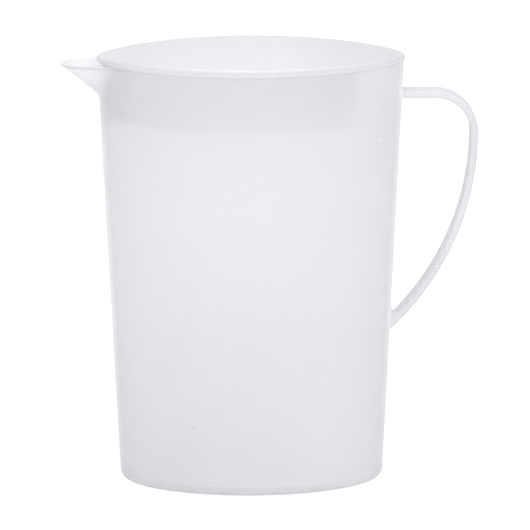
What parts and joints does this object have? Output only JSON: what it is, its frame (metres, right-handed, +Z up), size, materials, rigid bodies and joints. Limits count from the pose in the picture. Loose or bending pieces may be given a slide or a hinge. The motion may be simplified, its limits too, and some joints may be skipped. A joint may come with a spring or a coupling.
{
  "type": "pitcher with lid",
  "caption": "Slim oval fridge pitcher in milky translucent plastic, with a pouring spout, a loop strap handle and a push-in lid with a deep skirt.",
  "frame": {"origin": "middle of the flat underside, halfway between the two narrow ends of the base", "axes": "+Z up, +X towards the handle, -X towards the spout, Y across the slim sides"},
  "size_m": [0.2197, 0.109, 0.2315],
  "materials": {
    "pitcher_plastic": "milky translucent polypropylene, satin",
    "lid_plastic": "milky translucent polypropylene, satin"
  },
  "bodies": {
    "root": {"pitcher": "pitcher_plastic", "lid": "lid_plastic"}
  },
  "joints": []
}
